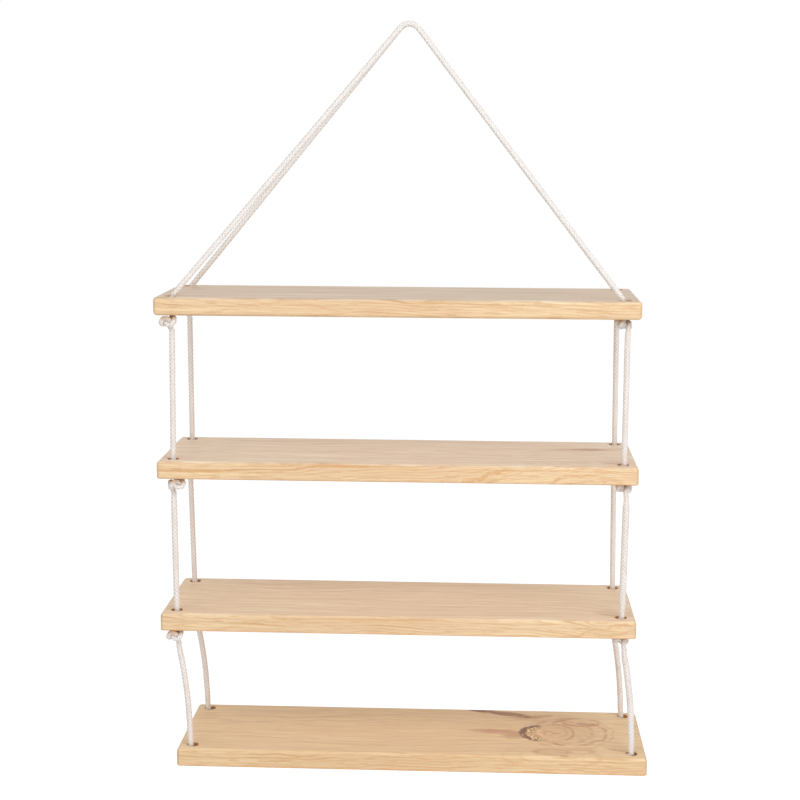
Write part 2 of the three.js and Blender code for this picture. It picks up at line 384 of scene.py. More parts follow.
# %% [markdown]
# ## The overhand knots and the ropes below them
# Under each hole the rope is tied in an overhand knot. Its route is the one of the plain model:
# half of it is written down, in rope diameters from the knot's middle, and the other half is the
# first one turned half round, which is how the two halves of an overhand knot lie in each other.
# The knots are pulled a tenth tighter than the plain model's, and between them some ropes swell,
# as the photo shows. One braid runs from the hole through the knot and on down into the next
# board's hole, so no seam shows where the rope leaves its knot. The shifts and the exits, which
# are in millimetres, say how far beside the middle of its hole a rope runs.

# %% The route of a knot
KNOT_ROUTE_SHARES = (
    (-0.02, 0.64, 0.4),
    (0.1, 0.74, 0.2),
    (0.4, 0.86, -0.16),
    (1.06, 0.76, -0.34),
    (1.62, 0.5, 0.02),
    (2.16, 0.08, 0.5),
    (2.26, -0.78, 0.5),
    (2.18, -1.2, -0.02),
    (1.66, -1.24, -0.48),
    (1.04, -0.96, -0.56),
    (0.84, -0.32, -0.44),
)


def by_corner(table):
    """Gives the four values of each row the names of the corners."""
    return {row: dict(zip(CORNERS, values)) for row, values in table.items()}


KNOT_TURNS = by_corner({
    "top": (-95, 100, -30, 200),
    "second": (-60, 80, 200, -15),
    "third": (-95, 85, -15, 190),
    "bottom": (45, 135, -45, -135),
})
KNOT_TIGHTNESS = 0.9
SEAT_GAP = 0.3 * MM
KNOT_HALF_HEIGHT = 0.99 * ROPE_DIAMETER
KNOT_LEAD = 1.75 * ROPE_DIAMETER
KNOT_ENTRY = 0.6 * ROPE_DIAMETER
LEAD_BELOW = 0.4 * MM
KNOT_TAIL_SIDE = 0.45 * ROPE_DIAMETER
POCKET_COVER = 0.5 * MM
ENTRY_SHIFTS = {"bottom": -2.4}
KNOT_EXITS = by_corner({
    "top": (1.6, 2.4, 0, 0),
    "second": (0, 4.4, -2.6, 0),
    "third": (1.6, 4.6, 0, 0),
})
HOLE_EXITS = by_corner({
    "second": (0, 1.2, 0, 0),
    "third": (0, 1.2, -1, 0),
    "bottom": (0, 1.8, 0, 0),
})


def hole_place(level, corner):
    """The middle of a hole at its board's top face."""
    side_x, side_y = CORNERS[corner]
    return PLACES[level] + Vector((side_x * HOLE_X, side_y * HOLE_Y, 0))


def knot_middle(level, corner):
    """The middle of the knot under a hole, or in the pocket of the bottom board."""
    down = BOARD_THICKNESS + SEAT_GAP + KNOT_HALF_HEIGHT
    if level == "bottom":
        down = BOARD_THICKNESS - POCKET_COVER - KNOT_HALF_HEIGHT
    return hole_place(level, corner) - Vector((0, 0, down))


def knot_points(level, corner):
    """The points of one knot: in at the top of its hole, through the knot, and out below."""
    hole = hole_place(level, corner)
    middle = knot_middle(level, corner)
    turn = Matrix.Rotation(math.radians(KNOT_TURNS[level][corner]), 3, "Z")
    half = [
        Vector((x * KNOT_TIGHTNESS, y * KNOT_TIGHTNESS, z)) * ROPE_DIAMETER
        for x, y, z in KNOT_ROUTE_SHARES
    ]
    other_half = [Vector((p.x, -p.y, -p.z)) for p in reversed(half)]
    side_x = CORNERS[corner][0]
    across = -side_x * TOP_ENTRY_LEAN_IN if level == "top" else ENTRY_SHIFTS.get(level, 0) * MM
    lead = hole + Vector((across, 0, -LEAD_BELOW))
    points = [lead, lead - Vector((0, 0, KNOT_ENTRY - LEAD_BELOW))]
    if level != "bottom":
        points.append(middle + Vector((0, 0, KNOT_LEAD)))
    points += [middle + turn @ p for p in half + other_half]
    if level == "bottom":
        points.append(middle + turn @ Vector((0, -KNOT_TAIL_SIDE, -KNOT_HALF_HEIGHT)))
    else:
        aside = KNOT_EXITS[level][corner] * MM
        points.append(middle + Vector((aside, 0, -KNOT_LEAD)))
    return points


# %% The free stretches
KNOT_SQUEEZE = 0.84
SQUEEZE_FROM = 0.9 * ROPE_DIAMETER
SQUEEZE_TO = 1.6 * ROPE_DIAMETER
STRETCH_POINTS = 5
STRETCH_END = 1.2 * MM
SLACK_BOWS = {"upper": 0, "middle": 0, "lower": 2.5 * MM}
FULLNESS = by_corner({
    "upper": (1.06, 1.05, 1, 1),
    "middle": (1.13, 1.25, 1, 1),
    "lower": (1.1, 1.18, 1.08, 1.08),
})
FULL_AFTER = 8 * MM
STAGES = {"upper": ("top", "second"), "middle": ("second", "third"), "lower": ("third", "bottom")}


def smooth_step(share):
    """A share held between 0 and 1, with a soft start and a soft end."""
    share = min(1, max(0, share))
    return share * share * (3 - 2 * share)


def knot_thicknesses(route, middle):
    """Full thickness away from the knot, and a little less where it is pulled tight."""
    result = []
    for place in route:
        away = (abs(place.z - middle.z) - SQUEEZE_FROM) / (SQUEEZE_TO - SQUEEZE_FROM)
        result.append(KNOT_SQUEEZE + (1 - KNOT_SQUEEZE) * smooth_step(away))
    return result


def fill_out(route, thicknesses, start, end, fullness):
    """Lets the rope swell between its two turning points, where nothing squeezes it."""
    result = []
    for place, thickness in zip(route, thicknesses):
        inside = min(start.z - place.z, place.z - end.z) / FULL_AFTER
        result.append(thickness * (1 + (fullness - 1) * smooth_step(inside)))
    return result


def stretch_points(stage, corner):
    """From the turning point under a knot to the inside of the next board's hole."""
    upper, lower = STAGES[stage]
    drop = BOARD_THICKNESS + SEAT_GAP + KNOT_HALF_HEIGHT + KNOT_LEAD + PIVOT_GAP
    aside = KNOT_EXITS[upper][corner] * MM
    start = hole_place(upper, corner) + Vector((aside, 0, -drop))
    aside = ENTRY_SHIFTS.get(lower, 0) * MM + HOLE_EXITS[lower][corner] * MM
    end = hole_place(lower, corner) + Vector((aside, 0, PIVOT_GAP))
    run = end - start
    sideways = Vector((-run.z, 0, run.x)).normalized()
    points = []
    for i in range(STRETCH_POINTS + 1):
        share = i / STRETCH_POINTS
        bow = SLACK_BOWS[stage] * math.sin(math.pi * share)
        points.append(start + run * share + sideways * bow)
    points.append(end + run.normalized() * (PIVOT_GAP + STRETCH_END))
    return points


# %% Hang the ropes
for stage, (upper, lower) in STAGES.items():
    for corner in CORNERS:
        free = stretch_points(stage, corner)
        route = smooth_route(knot_points(upper, corner) + free)
        thicknesses = knot_thicknesses(route, knot_middle(upper, corner))
        thicknesses = fill_out(route, thicknesses, free[0], free[-2], FULLNESS[stage][corner])
        rope = lay_rope(f"{stage}_{corner}_knotted_rope", route, thicknesses)
        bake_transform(rope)
        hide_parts(f"{upper}_{corner}_knot", f"{stage}_{corner}_rope")

# %% The last knots, in the bottom board's pockets
for corner in CORNERS:
    route = smooth_route(knot_points("bottom", corner))
    thicknesses = knot_thicknesses(route, knot_middle("bottom", corner))
    knot = lay_rope(f"bottom_{corner}_end_knot", route, thicknesses)
    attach(knot, "bottom_shelf")
    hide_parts(f"bottom_{corner}_knot")
print("rope of an end knot, mm:", round(route_length(route) / MM))
bpy.data.objects.remove(patch)

# %% [markdown]
# ## The boards
# A board is a planed plank with a soft roundover on its top edges and corners, a smaller one
# below that differs from board to board, and four drilled holes whose rims are broken with a
# light countersink. It starts as a cube, its edges are bevelled in the order a workshop would
# take, and a drill is subtracted at each hole. Only the bottom board has pockets on its
# underside for the last knots.

# %% Cut a plank
TOP_EDGE_RADIUS = 4 * MM
BOTTOM_EDGE_RADII = {"top": 0.9, "second": 2.2, "third": 1.1, "bottom": 1.1}
ROUND_STEPS = 6
NEAR = 0.1 * MM


def bevel_edges(obj, chosen, radius):
    """Rounds the edges for which chosen says yes, given their two end points."""
    in_edit_mode(obj)
    bpy.ops.mesh.select_all(action="DESELECT")
    to_mode("OBJECT")
    vertices = obj.data.vertices
    for edge in obj.data.edges:
        a, b = (vertices[i].co for i in edge.vertices)
        edge.select = chosen(a, b)
    to_mode("EDIT")
    bpy.ops.mesh.select_mode(type="EDGE")
    bpy.ops.mesh.bevel(offset=radius, offset_type="OFFSET", segments=ROUND_STEPS, affect="EDGES")
    to_mode("OBJECT")


def plank(name, bottom_radius):
    """A rounded plank whose top middle is the origin."""
    deselect_all()
    bpy.ops.mesh.primitive_cube_add(size=1, location=(0, 0, -BOARD_THICKNESS / 2))
    board = bpy.context.object
    board.name = name
    board.scale = (BOARD_LENGTH, BOARD_DEPTH, BOARD_THICKNESS)
    bpy.ops.object.transform_apply()
    bevel_edges(board, lambda a, b: max(a.z, b.z) > -NEAR, TOP_EDGE_RADIUS)
    bevel_edges(board, lambda a, b: max(a.z, b.z) < NEAR - BOARD_THICKNESS, bottom_radius)
    return board


# %% Drill it
HOLE_RADIUS = 6.25 * MM
RIM_BREAK = 0.25 * MM
DRILL_OVERRUN = 2 * MM
DRILL_SIDES = 48
FACING = 0.9
POCKET_RADIUS = 12.46 * MM
POCKET_DEPTH = 12.68 * MM
POCKET_REACH = 1.13 * ROPE_DIAMETER


def flared_drill(radius, low, high):
    """A drill along Z between two heights that opens at 45 degrees past both of them."""
    deselect_all()
    bpy.ops.mesh.primitive_cylinder_add(
        vertices=DRILL_SIDES, radius=radius, depth=high - low - 2 * RIM_BREAK,
        location=(0, 0, (low + high) / 2),
    )
    drill = bpy.context.object
    bpy.ops.object.transform_apply()
    reach = RIM_BREAK + DRILL_OVERRUN
    wider = (radius + reach) / radius
    for up in (1, -1):
        in_edit_mode(drill)
        bpy.ops.mesh.select_mode(type="FACE")
        bpy.ops.mesh.select_all(action="DESELECT")
        to_mode("OBJECT")
        for face in drill.data.polygons:
            face.select = face.normal.z * up > FACING
        to_mode("EDIT")
        bpy.ops.mesh.extrude_region_move(TRANSFORM_OT_translate={"value": (0, 0, up * reach)})
        bpy.ops.transform.resize(value=(wider, wider, 1))
        to_mode("OBJECT")
    return drill


def subtract(board, drill, places):
    """Cuts a drill out of a board at several places, then throws the drill away."""
    for x, y in places:
        drill.location = (x, y, 0)
        cut = board.modifiers.new("hole", "BOOLEAN")
        cut.operation = "DIFFERENCE"
        cut.solver = "EXACT"
        cut.object = drill
        bpy.context.view_layer.objects.active = board
        bpy.context.view_layer.update()
        bpy.ops.object.modifier_apply(modifier=cut.name)
    bpy.data.objects.remove(drill)


hole_places = [(sx * HOLE_X, sy * HOLE_Y) for sx, sy in CORNERS.values()]
boards = {}
for level in LEVELS:
    board = plank(f"{level}_pine_board", BOTTOM_EDGE_RADII[level] * MM)
    subtract(board, flared_drill(HOLE_RADIUS, -BOARD_THICKNESS, 0), hole_places)
    boards[level] = board
print("faces of a drilled board:", len(board.data.polygons))

# %% Put the four boards in place
SMOOTH_BELOW = math.radians(35)


def pocket_places():
    """The middles of the bottom board's pockets, off each hole towards its knot."""
    places = []
    for corner, (sx, sy) in CORNERS.items():
        angle = math.radians(KNOT_TURNS["bottom"][corner])
        x = sx * HOLE_X + POCKET_REACH * math.cos(angle)
        y = sy * HOLE_Y + POCKET_REACH * math.sin(angle)
        places.append((x, y))
    return places


for level, board in boards.items():
    if level == "bottom":
        roof = -BOARD_THICKNESS + POCKET_DEPTH
        pocket = flared_drill(POCKET_RADIUS, -BOARD_THICKNESS, roof)
        for vertex in pocket.data.vertices:
            if vertex.co.z > roof - RIM_BREAK - NEAR:
                across = Vector((vertex.co.x, vertex.co.y, 0)).normalized() * POCKET_RADIUS
                vertex.co = (across.x, across.y, roof)
        subtract(board, pocket, pocket_places())
    board.data.transform(Matrix.Translation(PLACES[level]))
    pick(board)
    bpy.ops.object.shade_smooth_by_angle(angle=SMOOTH_BELOW)
    even = board.modifiers.new("even shading", "WEIGHTED_NORMAL")
    even.keep_sharp = True
    bpy.ops.object.modifier_apply(modifier=even.name)
    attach(board, f"{level}_shelf")
    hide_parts(f"{level}_board")
    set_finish(board, "pine")
print("faces with the pockets:", len(board.data.polygons))

# %% [markdown]
# ## Building materials from nodes
# A material is a small network. These helpers add a node, feed its inputs and join it to the
# ones before, so that a recipe below reads from top to bottom. A fade or a range is written as
# two numbers, where it starts and ends, or as four, with what it gives there.

# %% Node helpers
def feed(sockets, values):
    """Feeds sockets with plain values or with other nodes' outputs."""
    for key, value in values.items():
        if isinstance(value, bpy.types.NodeSocket):
            value.id_data.links.new(value, sockets[key])
        else:
            sockets[key].default_value = value


def add_node(tree, kind, inputs=None, **settings):
    """Adds a shader node, sets its options and feeds its inputs."""
    made = tree.nodes.new(f"ShaderNode{kind}")
    for key, value in settings.items():
        setattr(made, key, value)
    feed(made.inputs, inputs or {})
    return made


def follow(kind, inputs, **settings):
    """Adds a node to the tree that its inputs come from."""
    joined = [v for v in inputs.values() if isinstance(v, bpy.types.NodeSocket)]
    return add_node(joined[0].id_data, kind, inputs, **settings)


def maths(operation, *values):
    """A Math node's result."""
    return follow("Math", dict(enumerate(values)), operation=operation).outputs[0]


times = partial(maths, "MULTIPLY")
plus = partial(maths, "ADD")
minus = partial(maths, "SUBTRACT")


def rise(value, low, high, start=0, end=1):
    """A smooth step from start to end while value goes from low to high."""
    inputs = {"Value": value, "From Min": low, "From Max": high, "To Min": start, "To Max": end}
    return follow("MapRange", inputs, interpolation_type="SMOOTHSTEP").outputs["Result"]


def mix_colours(share, first, second, blend="MIX"):
    """The first colour where share is 0 and the second where it is 1."""
    inputs = {0: share, 6: first, 7: second}
    return follow("Mix", inputs, data_type="RGBA", blend_type=blend).outputs[2]


def noise(place, scale, detail, roughness=0.5):
    """Noise between 0 and 1 that changes about scale times in a unit of place."""
    inputs = {"Vector": place, "Scale": scale, "Detail": detail, "Roughness": roughness}
    return follow("TexNoise", inputs).outputs["Fac"]


def parts_of(vector):
    """The X, Y and Z of a vector."""
    return follow("SeparateXYZ", {0: vector}).outputs


def vector_of(x=0, y=0, z=0):
    """A vector from its parts."""
    return follow("CombineXYZ", {0: x, 1: y, 2: z}).outputs[0]


def object_place(tree):
    """A point's place in metres, in one frame for all pieces, as they sit at the origin."""
    return add_node(tree, "TexCoord").outputs["Object"]


BUMP_HEIGHT = 0.1 * MM


def bumped(height, strength):
    """The surface's normal, disturbed by a height."""
    inputs = {"Strength": strength, "Distance": BUMP_HEIGHT, "Height": height}
    return follow("Bump", inputs).outputs["Normal"]


# %% Groups and materials
def new_group(name, inputs, outputs):
    """An empty shader group with named number, vector or colour sockets."""
    group = bpy.data.node_groups.new(name, "ShaderNodeTree")
    for way, sockets in (("INPUT", inputs), ("OUTPUT", outputs)):
        for label, kind in sockets.items():
            group.interface.new_socket(label, in_out=way, socket_type=f"NodeSocket{kind}")
    entry = group.nodes.new("NodeGroupInput")
    leave = group.nodes.new("NodeGroupOutput")
    return group, entry.outputs, leave.inputs


def new_material(name):
    """An empty material, with its Principled shader joined to the output."""
    material = bpy.data.materials.new(name)
    material.use_nodes = True
    tree = material.node_tree
    tree.nodes.clear()
    shader = add_node(tree, "BsdfPrincipled")
    add_node(tree, "OutputMaterial", {"Surface": shader.outputs["BSDF"]})
    return material, tree, shader


# %% [markdown]
# ## Pine
# Pine's pattern is a block of growth rings that the saw has cut through, so the recipe is
# solid: rings about a heart line that runs along the board well below it. The top then shows
# long flames, the long edges a few amber streaks, and the ends curved rings, and all of them
# meet at the edges. Noise that changes slowly along the board lets the grain wander, and a
# branch swells the rings round it. The group takes a place on the board in millimetres and
# gives back masks.

# %% The growth group
NOISES = {
    "drift": ((0.006, 0.012, 0.014), 2),
    "ripple": ((0.03, 0.11, 0.13), 3),
    "ring gaps": ((0.014, 0.14, 0.14), 2),
    "fibre": ((0.016, 0.9, 0.9), 5),
    "streak": ((0.045, 0.55, 0.55), 3),
    "patch": ((0.003, 0.07, 0.07), 4),
    "stripe": ((0.005, 0.2, 0.2), 3),
    "fray": ((0.09, 0.35, 0.3), 4),
    "wobble": ((0.045, 0.055, 0.05), 3),
    "line gaps": ((0.05, 0.07, 0.05), 3),
    "ragged rim": ((0.2, 0.25, 0.3), 4),
    "speckle": ((0.28, 0.3, 0.3), 3),
}
GRAIN_ROUGHNESS = 0.6
GROWTH_INPUTS = {
    "Heart": "Vector", "Slope": "Float", "Ring Width": "Float", "Wander": "Float",
    "Branch Place": "Vector", "Branch Size": "Vector", "Branch Swell": "Float",
}
RIPPLE_REACH = 2.8
BRANCH_RIPPLE = 0.5
LATE_STARTS = (0.42, 0.86)
LATE_STOPS = (0.89, 1, 1, 0)
PALEST_YEAR = 0.4
RING_GAPS = (0.36, 0.62, 0.25, 1)
BRANCH_CLEARS = (0.3, 0.8, 1, 0.3)
STREAKS = (0.5, 0.63)
STREAK_SLANT = 0.8
STRIPE_WAVE = 45


def vector_maths(operation, first, second=(0, 0, 0)):
    """A Vector Math node's result."""
    node = follow("VectorMath", {0: first, 1: second}, operation=operation)
    return node.outputs["Value" if operation == "LENGTH" else "Vector"]


def grain_noise(place, name):
    """One of the noises at a place in millimetres, stretched along the board."""
    scale, detail = NOISES[name]
    return noise(vector_maths("MULTIPLY", place, scale), 1, detail, GRAIN_ROUGHNESS)


def waver(place, name):
    """The same noise, about zero."""
    return minus(grain_noise(place, name), 0.5)


def build_growth_group():
    """Masks of the growth rings, the fibres and the colour patches at a place in the wood."""
    outputs = dict.fromkeys(("Late Wood", "Streak", "Fibre", "Patch", "Stripe"), "Float")
    tree, given, result = new_group("pine_growth", {"Place": "Vector", **GROWTH_INPUTS}, outputs)
    place = given["Place"]
    along = parts_of(place)["X"]
    from_heart = vector_maths("SUBTRACT", place, given["Heart"])
    radius = vector_maths("LENGTH", vector_maths("MULTIPLY", from_heart, (0, 1, 1)))
    drift = waver(place, "drift")
    ripple = waver(place, "ripple")
    radius = plus(radius, times(drift, given["Wander"]))
    radius = plus(radius, times(ripple, RIPPLE_REACH))
    radius = plus(radius, times(along, given["Slope"]))

    from_branch = vector_maths("SUBTRACT", place, given["Branch Place"])
    shares = vector_maths("DIVIDE", from_branch, given["Branch Size"])
    far = vector_maths("LENGTH", shares)
    far = plus(far, times(ripple, BRANCH_RIPPLE))
    swell = maths("EXPONENT", times(times(far, far), -1))
    radius = plus(radius, times(swell, given["Branch Swell"]))

    years = maths("DIVIDE", radius, given["Ring Width"])
    within = maths("FRACT", years)
    year = maths("FLOOR", years)
    luck = follow("TexWhiteNoise", {"W": year}, noise_dimensions="1D")
    late = times(rise(within, *LATE_STARTS), rise(within, *LATE_STOPS))
    late = times(late, rise(luck.outputs["Value"], 0, 1, PALEST_YEAR, 1))
    broken = rise(grain_noise(place, "ring gaps"), *RING_GAPS)
    broken = times(broken, rise(swell, *BRANCH_CLEARS))
    slant = times(along, times(given["Slope"], STREAK_SLANT))
    slanted = vector_maths("ADD", place, vector_of(z=slant))
    wave = times(drift, STRIPE_WAVE)
    waved = vector_maths("ADD", place, vector_of(y=wave))
    feed(result, {
        "Late Wood": times(late, broken),
        "Streak": rise(grain_noise(slanted, "streak"), *STREAKS),
        "Fibre": grain_noise(place, "fibre"),
        "Patch": grain_noise(place, "patch"),
        "Stripe": grain_noise(waved, "stripe"),
    })
    return tree


growth_group = build_growth_group()
print("growth group nodes:", len(growth_group.nodes))

# %% [markdown]
# ## Marks in the wood
# All long edges have amber streaks, and three boards carry marks on top: bark, resin and stained
# wood round the branch of the bottom one, a smaller stain with bark on the second, and a short
# painted shadow beside a hole of each. A mark is a soft ellipse with frayed sides, which a
# second group makes from its middle, its half sizes and its turn, so that it is one line in a
# table.
# The same ellipse also gives a soft, broken outline, for the rings round the branch and for the
# arcs of grain on the long edges. The resin is a crescent: inside one circle, outside another.

# %% The smear group
FRAY_REACH = 1.6
SMEAR_FADE = (0.3, 1.15, 1, 0)
WOBBLE_REACH = 0.42
LINE_FADE = (0.2, 3.2, 1, 0)
LINE_GAPS = (0.36, 0.56, 0.25, 1)


def build_smear_group():
    """A soft ellipse with frayed sides that fades out with depth, and its outline."""
    inputs = {"Place": "Vector", "Middle": "Vector", "Half Size": "Vector", "Turn": "Float"}
    tree, given, result = new_group("smear", inputs, {"Mask": "Float", "Outline": "Float"})
    place = given["Place"]
    from_middle = vector_maths("SUBTRACT", place, given["Middle"])
    inputs = {"Vector": from_middle, "Angle": given["Turn"]}
    turned = follow("VectorRotate", inputs, rotation_type="Z_AXIS").outputs[0]
    far = vector_maths("LENGTH", vector_maths("DIVIDE", turned, given["Half Size"]))
    frayed = plus(far, times(waver(place, "fray"), FRAY_REACH))
    wobbly = plus(far, times(waver(place, "wobble"), WOBBLE_REACH))
    from_rim = maths("ABSOLUTE", minus(wobbly, 1))
    from_rim = times(from_rim, parts_of(given["Half Size"])["Y"])
    broken = rise(grain_noise(place, "line gaps"), *LINE_GAPS)
    feed(result, {
        "Mask": rise(frayed, *SMEAR_FADE),
        "Outline": times(rise(from_rim, *LINE_FADE), broken),
    })
    return tree


smear_group = build_smear_group()
MARK_DEPTH = 7


def smears(place, marks, output="Mask"):
    """The strongest of several smears; one with a flat middle lies on the board's top."""
    strongest = 0
    for middle, half_size, degrees, strength in marks:
        if len(middle) == 2:
            middle, half_size = (*middle, 0), (*half_size, MARK_DEPTH)
        mask = follow("Group", {
            "Place": place, "Middle": middle, "Half Size": half_size,
            "Turn": math.radians(-degrees),
        }, node_tree=smear_group).outputs[output]
        strongest = maths("MAXIMUM", strongest, times(mask, strength))
    return strongest


# %% [markdown]
# ## The finish of each board
# Oiled pine has its own tone on each board, so one recipe makes four materials. It mixes late
# wood into early wood, gives the top face, the edges, the ends and the holes their tones, and
# adds the marks last. Some tones are painted light: painted sheen and shade grey the tops, and
# painted shade darkens the lower edges and all but the tops of the two lower boards. All of it
# is found from the place in the wood, so the grain needs no picture wrapped round the board.

# %% Colours of the boards
EARLY_WOOD = (0.93, 0.71, 0.44, 1)
LATE_WOOD = (0.66, 0.33, 0.11, 1)
DULL_WOOD = (0.83, 0.59, 0.36, 1)
WHITE = (1, 1, 1, 1)
# Colour of the top, greyer than the fronts with painted sheen and shade, and its share; shares
# of its late wood and stripes; share of the painted shade on the lower edge.
TONES = {
    "top": ((0.765, 0.61, 0.48, 1), 0.75, 0.6, 2.2, 0.15),
    "second": ((0.965, 0.8, 0.63, 1), 0.8, 0.5, 1.4, 0.5),
    "third": ((1, 0.78, 0.55, 1), 0.85, 0.5, 1.2, 0.7),
    "bottom": ((1, 0.745, 0.45, 1), 0.85, 0.5, 0.8, 0.95),
}
FACE_LATE_WOOD = (0.62, 0.37, 0.22, 1)
DARKER_IS_WARMER = (0.6, 1, 1.3)
# Painted shade: all but the tops of the two lower boards are painted darker, the bottom one most.
PAINTED_FRONT_SHADE = {"third": (0.975, 0.975, 0.98, 1), "bottom": (0.935, 0.905, 0.86, 1)}
# Painted shade: the lower long edges, whose roundover faces down, are painted a darker orange,
# warmed by light from below.
PAINTED_EDGE_SHADE = (0.8, 0.36, 0.13, 1)
END_WOOD = (0.7, 0.48, 0.27, 1)
HOLE_WALL_WOOD = (0.72, 0.38, 0.17, 1)
BARK = (0.5, 0.25, 0.12, 1)
DARK_BARK = (0.26, 0.1, 0.04, 1)
# Colour of the stains, and of the painted shadow beside a hole.
STAIN_AND_SHADOW_WOOD = (0.62, 0.31, 0.155, 1)
RED_WOOD = (0.56, 0.22, 0.09, 1)
RESIN = (1, 0.74, 0.38, 1)

# %% Marks: middle, half sizes, turn in degrees, strength
# A painted shadow beside the front-right hole, on the top of each of three boards.
PAINTED_HOLE_SHADOW = ((219, -50), (15, 4), -30, 0.5)
MARKS = {
    "second": [((196, 24), (46, 9), 0, 0.5), PAINTED_HOLE_SHADOW],
    "third": [PAINTED_HOLE_SHADOW],
    "bottom": [
        ((92, 1), (36, 9), -3, 0.7),
        ((90, 3), (38, 3.4), -1, 0.9),
        ((110, -8), (17, 15), 20, 0.7),
        ((170, 4), (44, 46), 0, 0.24),
        ((160, 37), (12, 3.6), 38, 0.9),
        ((192, 30), (13, 6), -10, 0.8),
        ((174, 28), (13, 2.4), -12, 0.6),
        ((157, -2), (6, 2.4), 0, 0.8),
        ((134, 52), (32, 5), 12, 0.7),
        ((122, 46), (26, 8), -8, 0.35),
        ((147, -61), (18, 8), 0, 0.25),
        ((163, -71), (6, 4), 0, 0.5),
        PAINTED_HOLE_SHADOW,
    ],
}
BRANCH_LINES = [
    ((171, 4), (40, 43), 0, 0.6),
    ((172, 3), (47, 51), 0, 0.25),
    ((165, 3), (32, 35), 0, 0.4),
    ((155, 1), (21, 25), 0, 0.55),
    ((156, 2), (13, 16), 0, 0.22),
    ((149, -2), (5, 6), 0, 0.5),
    ((186, 35), (20, 12), -8, 0.6),
    ((150, -60), (18, 8), 0, 0.45),
    ((176, -58), (16, 6), 0, 0.35),
]
GRAIN_LINES = {
    "second": [
        ((198, -75, -31), (48, 36, 22), 0, 0.8),
        ((198, -75, -31), (33, 30, 15.5), 0, 0.6),
        ((198, -75, -30), (165, 70, 33), 0, 0.55),
        ((198, -75, -30), (135, 60, 32), 0, 0.8),
        ((198, -75, -30), (112, 50, 30), 0, 0.7),
    ],
    "third": [((256, -75, -42), (90, 60, 38), 0, 0.6), ((256, -75, -42), (62, 50, 32), 0, 0.5)],
    "bottom": [((150, -75, 2), (52, 40, 16), 0, 0.6), ((150, -75, 2), (36, 36, 11), 0, 0.45)],
}
AMBER_MARKS = {
    "top": [((-190, -75, -19), (80, 8, 2), 0, 0.6), ((60, -75, -19), (70, 8, 1.6), 0, 0.5)],
    "second": [((-205, -75, -9.5), (50, 8, 2.4), 0, 0.9), ((-62, -75, -2), (62, 6, 3), 0, 0.9)],
    "third": [((-40, -75, -3), (90, 8, 2.2), 0, 0.5)],
    "bottom": [((-90, -75, -19), (150, 8, 2), 0, 0.8)],
}
BARK_MARKS = {
    "second": [((205, 24), (24, 7), 0, 0.75)],
    "bottom": [((74, 73), (22, 11), -22, 1), ((103, 60), (30, 7), -20, 1)],
}
BARK_LINES = [((74, 73), (18, 7), -22, 0.9), ((103, 60), (27, 4.5), -20, 0.9)]
RESIN_OUTER = ((142, -2), 26)
RESIN_INNER = ((151, -3), 19.5)
RESIN_END = (136, 144, 1, 0)
GOLD_CIRCLE = ((149, -3), 25)
MORE_GOLD = 0.11
GOLD_SPECKLES = (0.52, 0.66)


# %% Masks by place
WALL_FADE = (0.05, 0.3)
RIM_REACH = 7
RIM_SOFTNESS = 1.2
DISC_SCALE = (1, 1, 0.5)


def hole_wall_mask(parts):
    """1 inside the rope holes, where the wall takes a darker orange-brown, and 0 outside."""
    across = minus(maths("ABSOLUTE", parts["X"]), HOLE_X / MM)
    over = minus(maths("ABSOLUTE", parts["Y"]), HOLE_Y / MM)
    squares = plus(times(across, across), times(over, over))
    start, end = (HOLE_RADIUS / MM + outside for outside in WALL_FADE)
    return rise(maths("SQRT", squares), start, end, 1, 0)


def disc(place, middle, radius):
    """1 within a circle on the board's top, with a ragged rim."""
    offset = vector_maths("SUBTRACT", place, (*middle, 0))
    far = vector_maths("LENGTH", vector_maths("MULTIPLY", offset, DISC_SCALE))
    far = plus(far, times(waver(place, "ragged rim"), RIM_REACH))
    return rise(far, radius - RIM_SOFTNESS, radius + RIM_SOFTNESS, 1, 0)


def with_resin(wood, place):
    """Wood with the branch's crescent of resin and bark."""
    outside = minus(1, disc(place, *RESIN_INNER))
    crescent = times(disc(place, *RESIN_OUTER), outside)
    crescent = times(crescent, rise(parts_of(place)["X"], *RESIN_END))
    more = times(disc(place, *GOLD_CIRCLE), MORE_GOLD)
    speckle = plus(grain_noise(place, "speckle"), more)
    resin = mix_colours(rise(speckle, *GOLD_SPECKLES), DARK_BARK, RESIN)
    return mix_colours(crescent, wood, resin)


# %% Pine finishes
GROWTH = {
    "top": ((0, 14, -120), 0.025, 2.7, 16, (-120, -90, -10), (60, 30, 30), 3),
    "second": ((0, -8, -130), -0.045, 2.9, 18, (198, -95, -34), (52, 40, 34), -26),
    "third": ((0, 20, -110), 0.012, 2.7, 20, (262, -84, 2), (60, 40, 30), 12),
    "bottom": ((0, 5, -115), -0.015, 2.8, 14, (160, 0, 0), (38, 38, 40), 14),
}
TOP_FACE = (-2.5, -0.1)
LOWER_EDGE = (-18.8, -17)
LONG_EDGES = (71.5, 74.5)
BOARD_ENDS = (246.5, 249.8)
END_SHARE = 0.45
PATCHES = (0.35, 0.65)
STREAK_SHARE = 0.5
LATE_SHARES = (0, 0.85, 0, 0.68)
STRIPE_SHADES = (0.3, 0.7, -0.11, 0.1)
FAINTEST_STRIPES = 0.25
FIBRE_SHADES = (0.3, 0.7, 0.88, 1.07)
AMBER_SHARES = (0.7, 0.25)
PINE_ROUGHNESS = (0.5, 0.4)
PINE_SHINE = 0.4
PINE_BUMP = 0.25


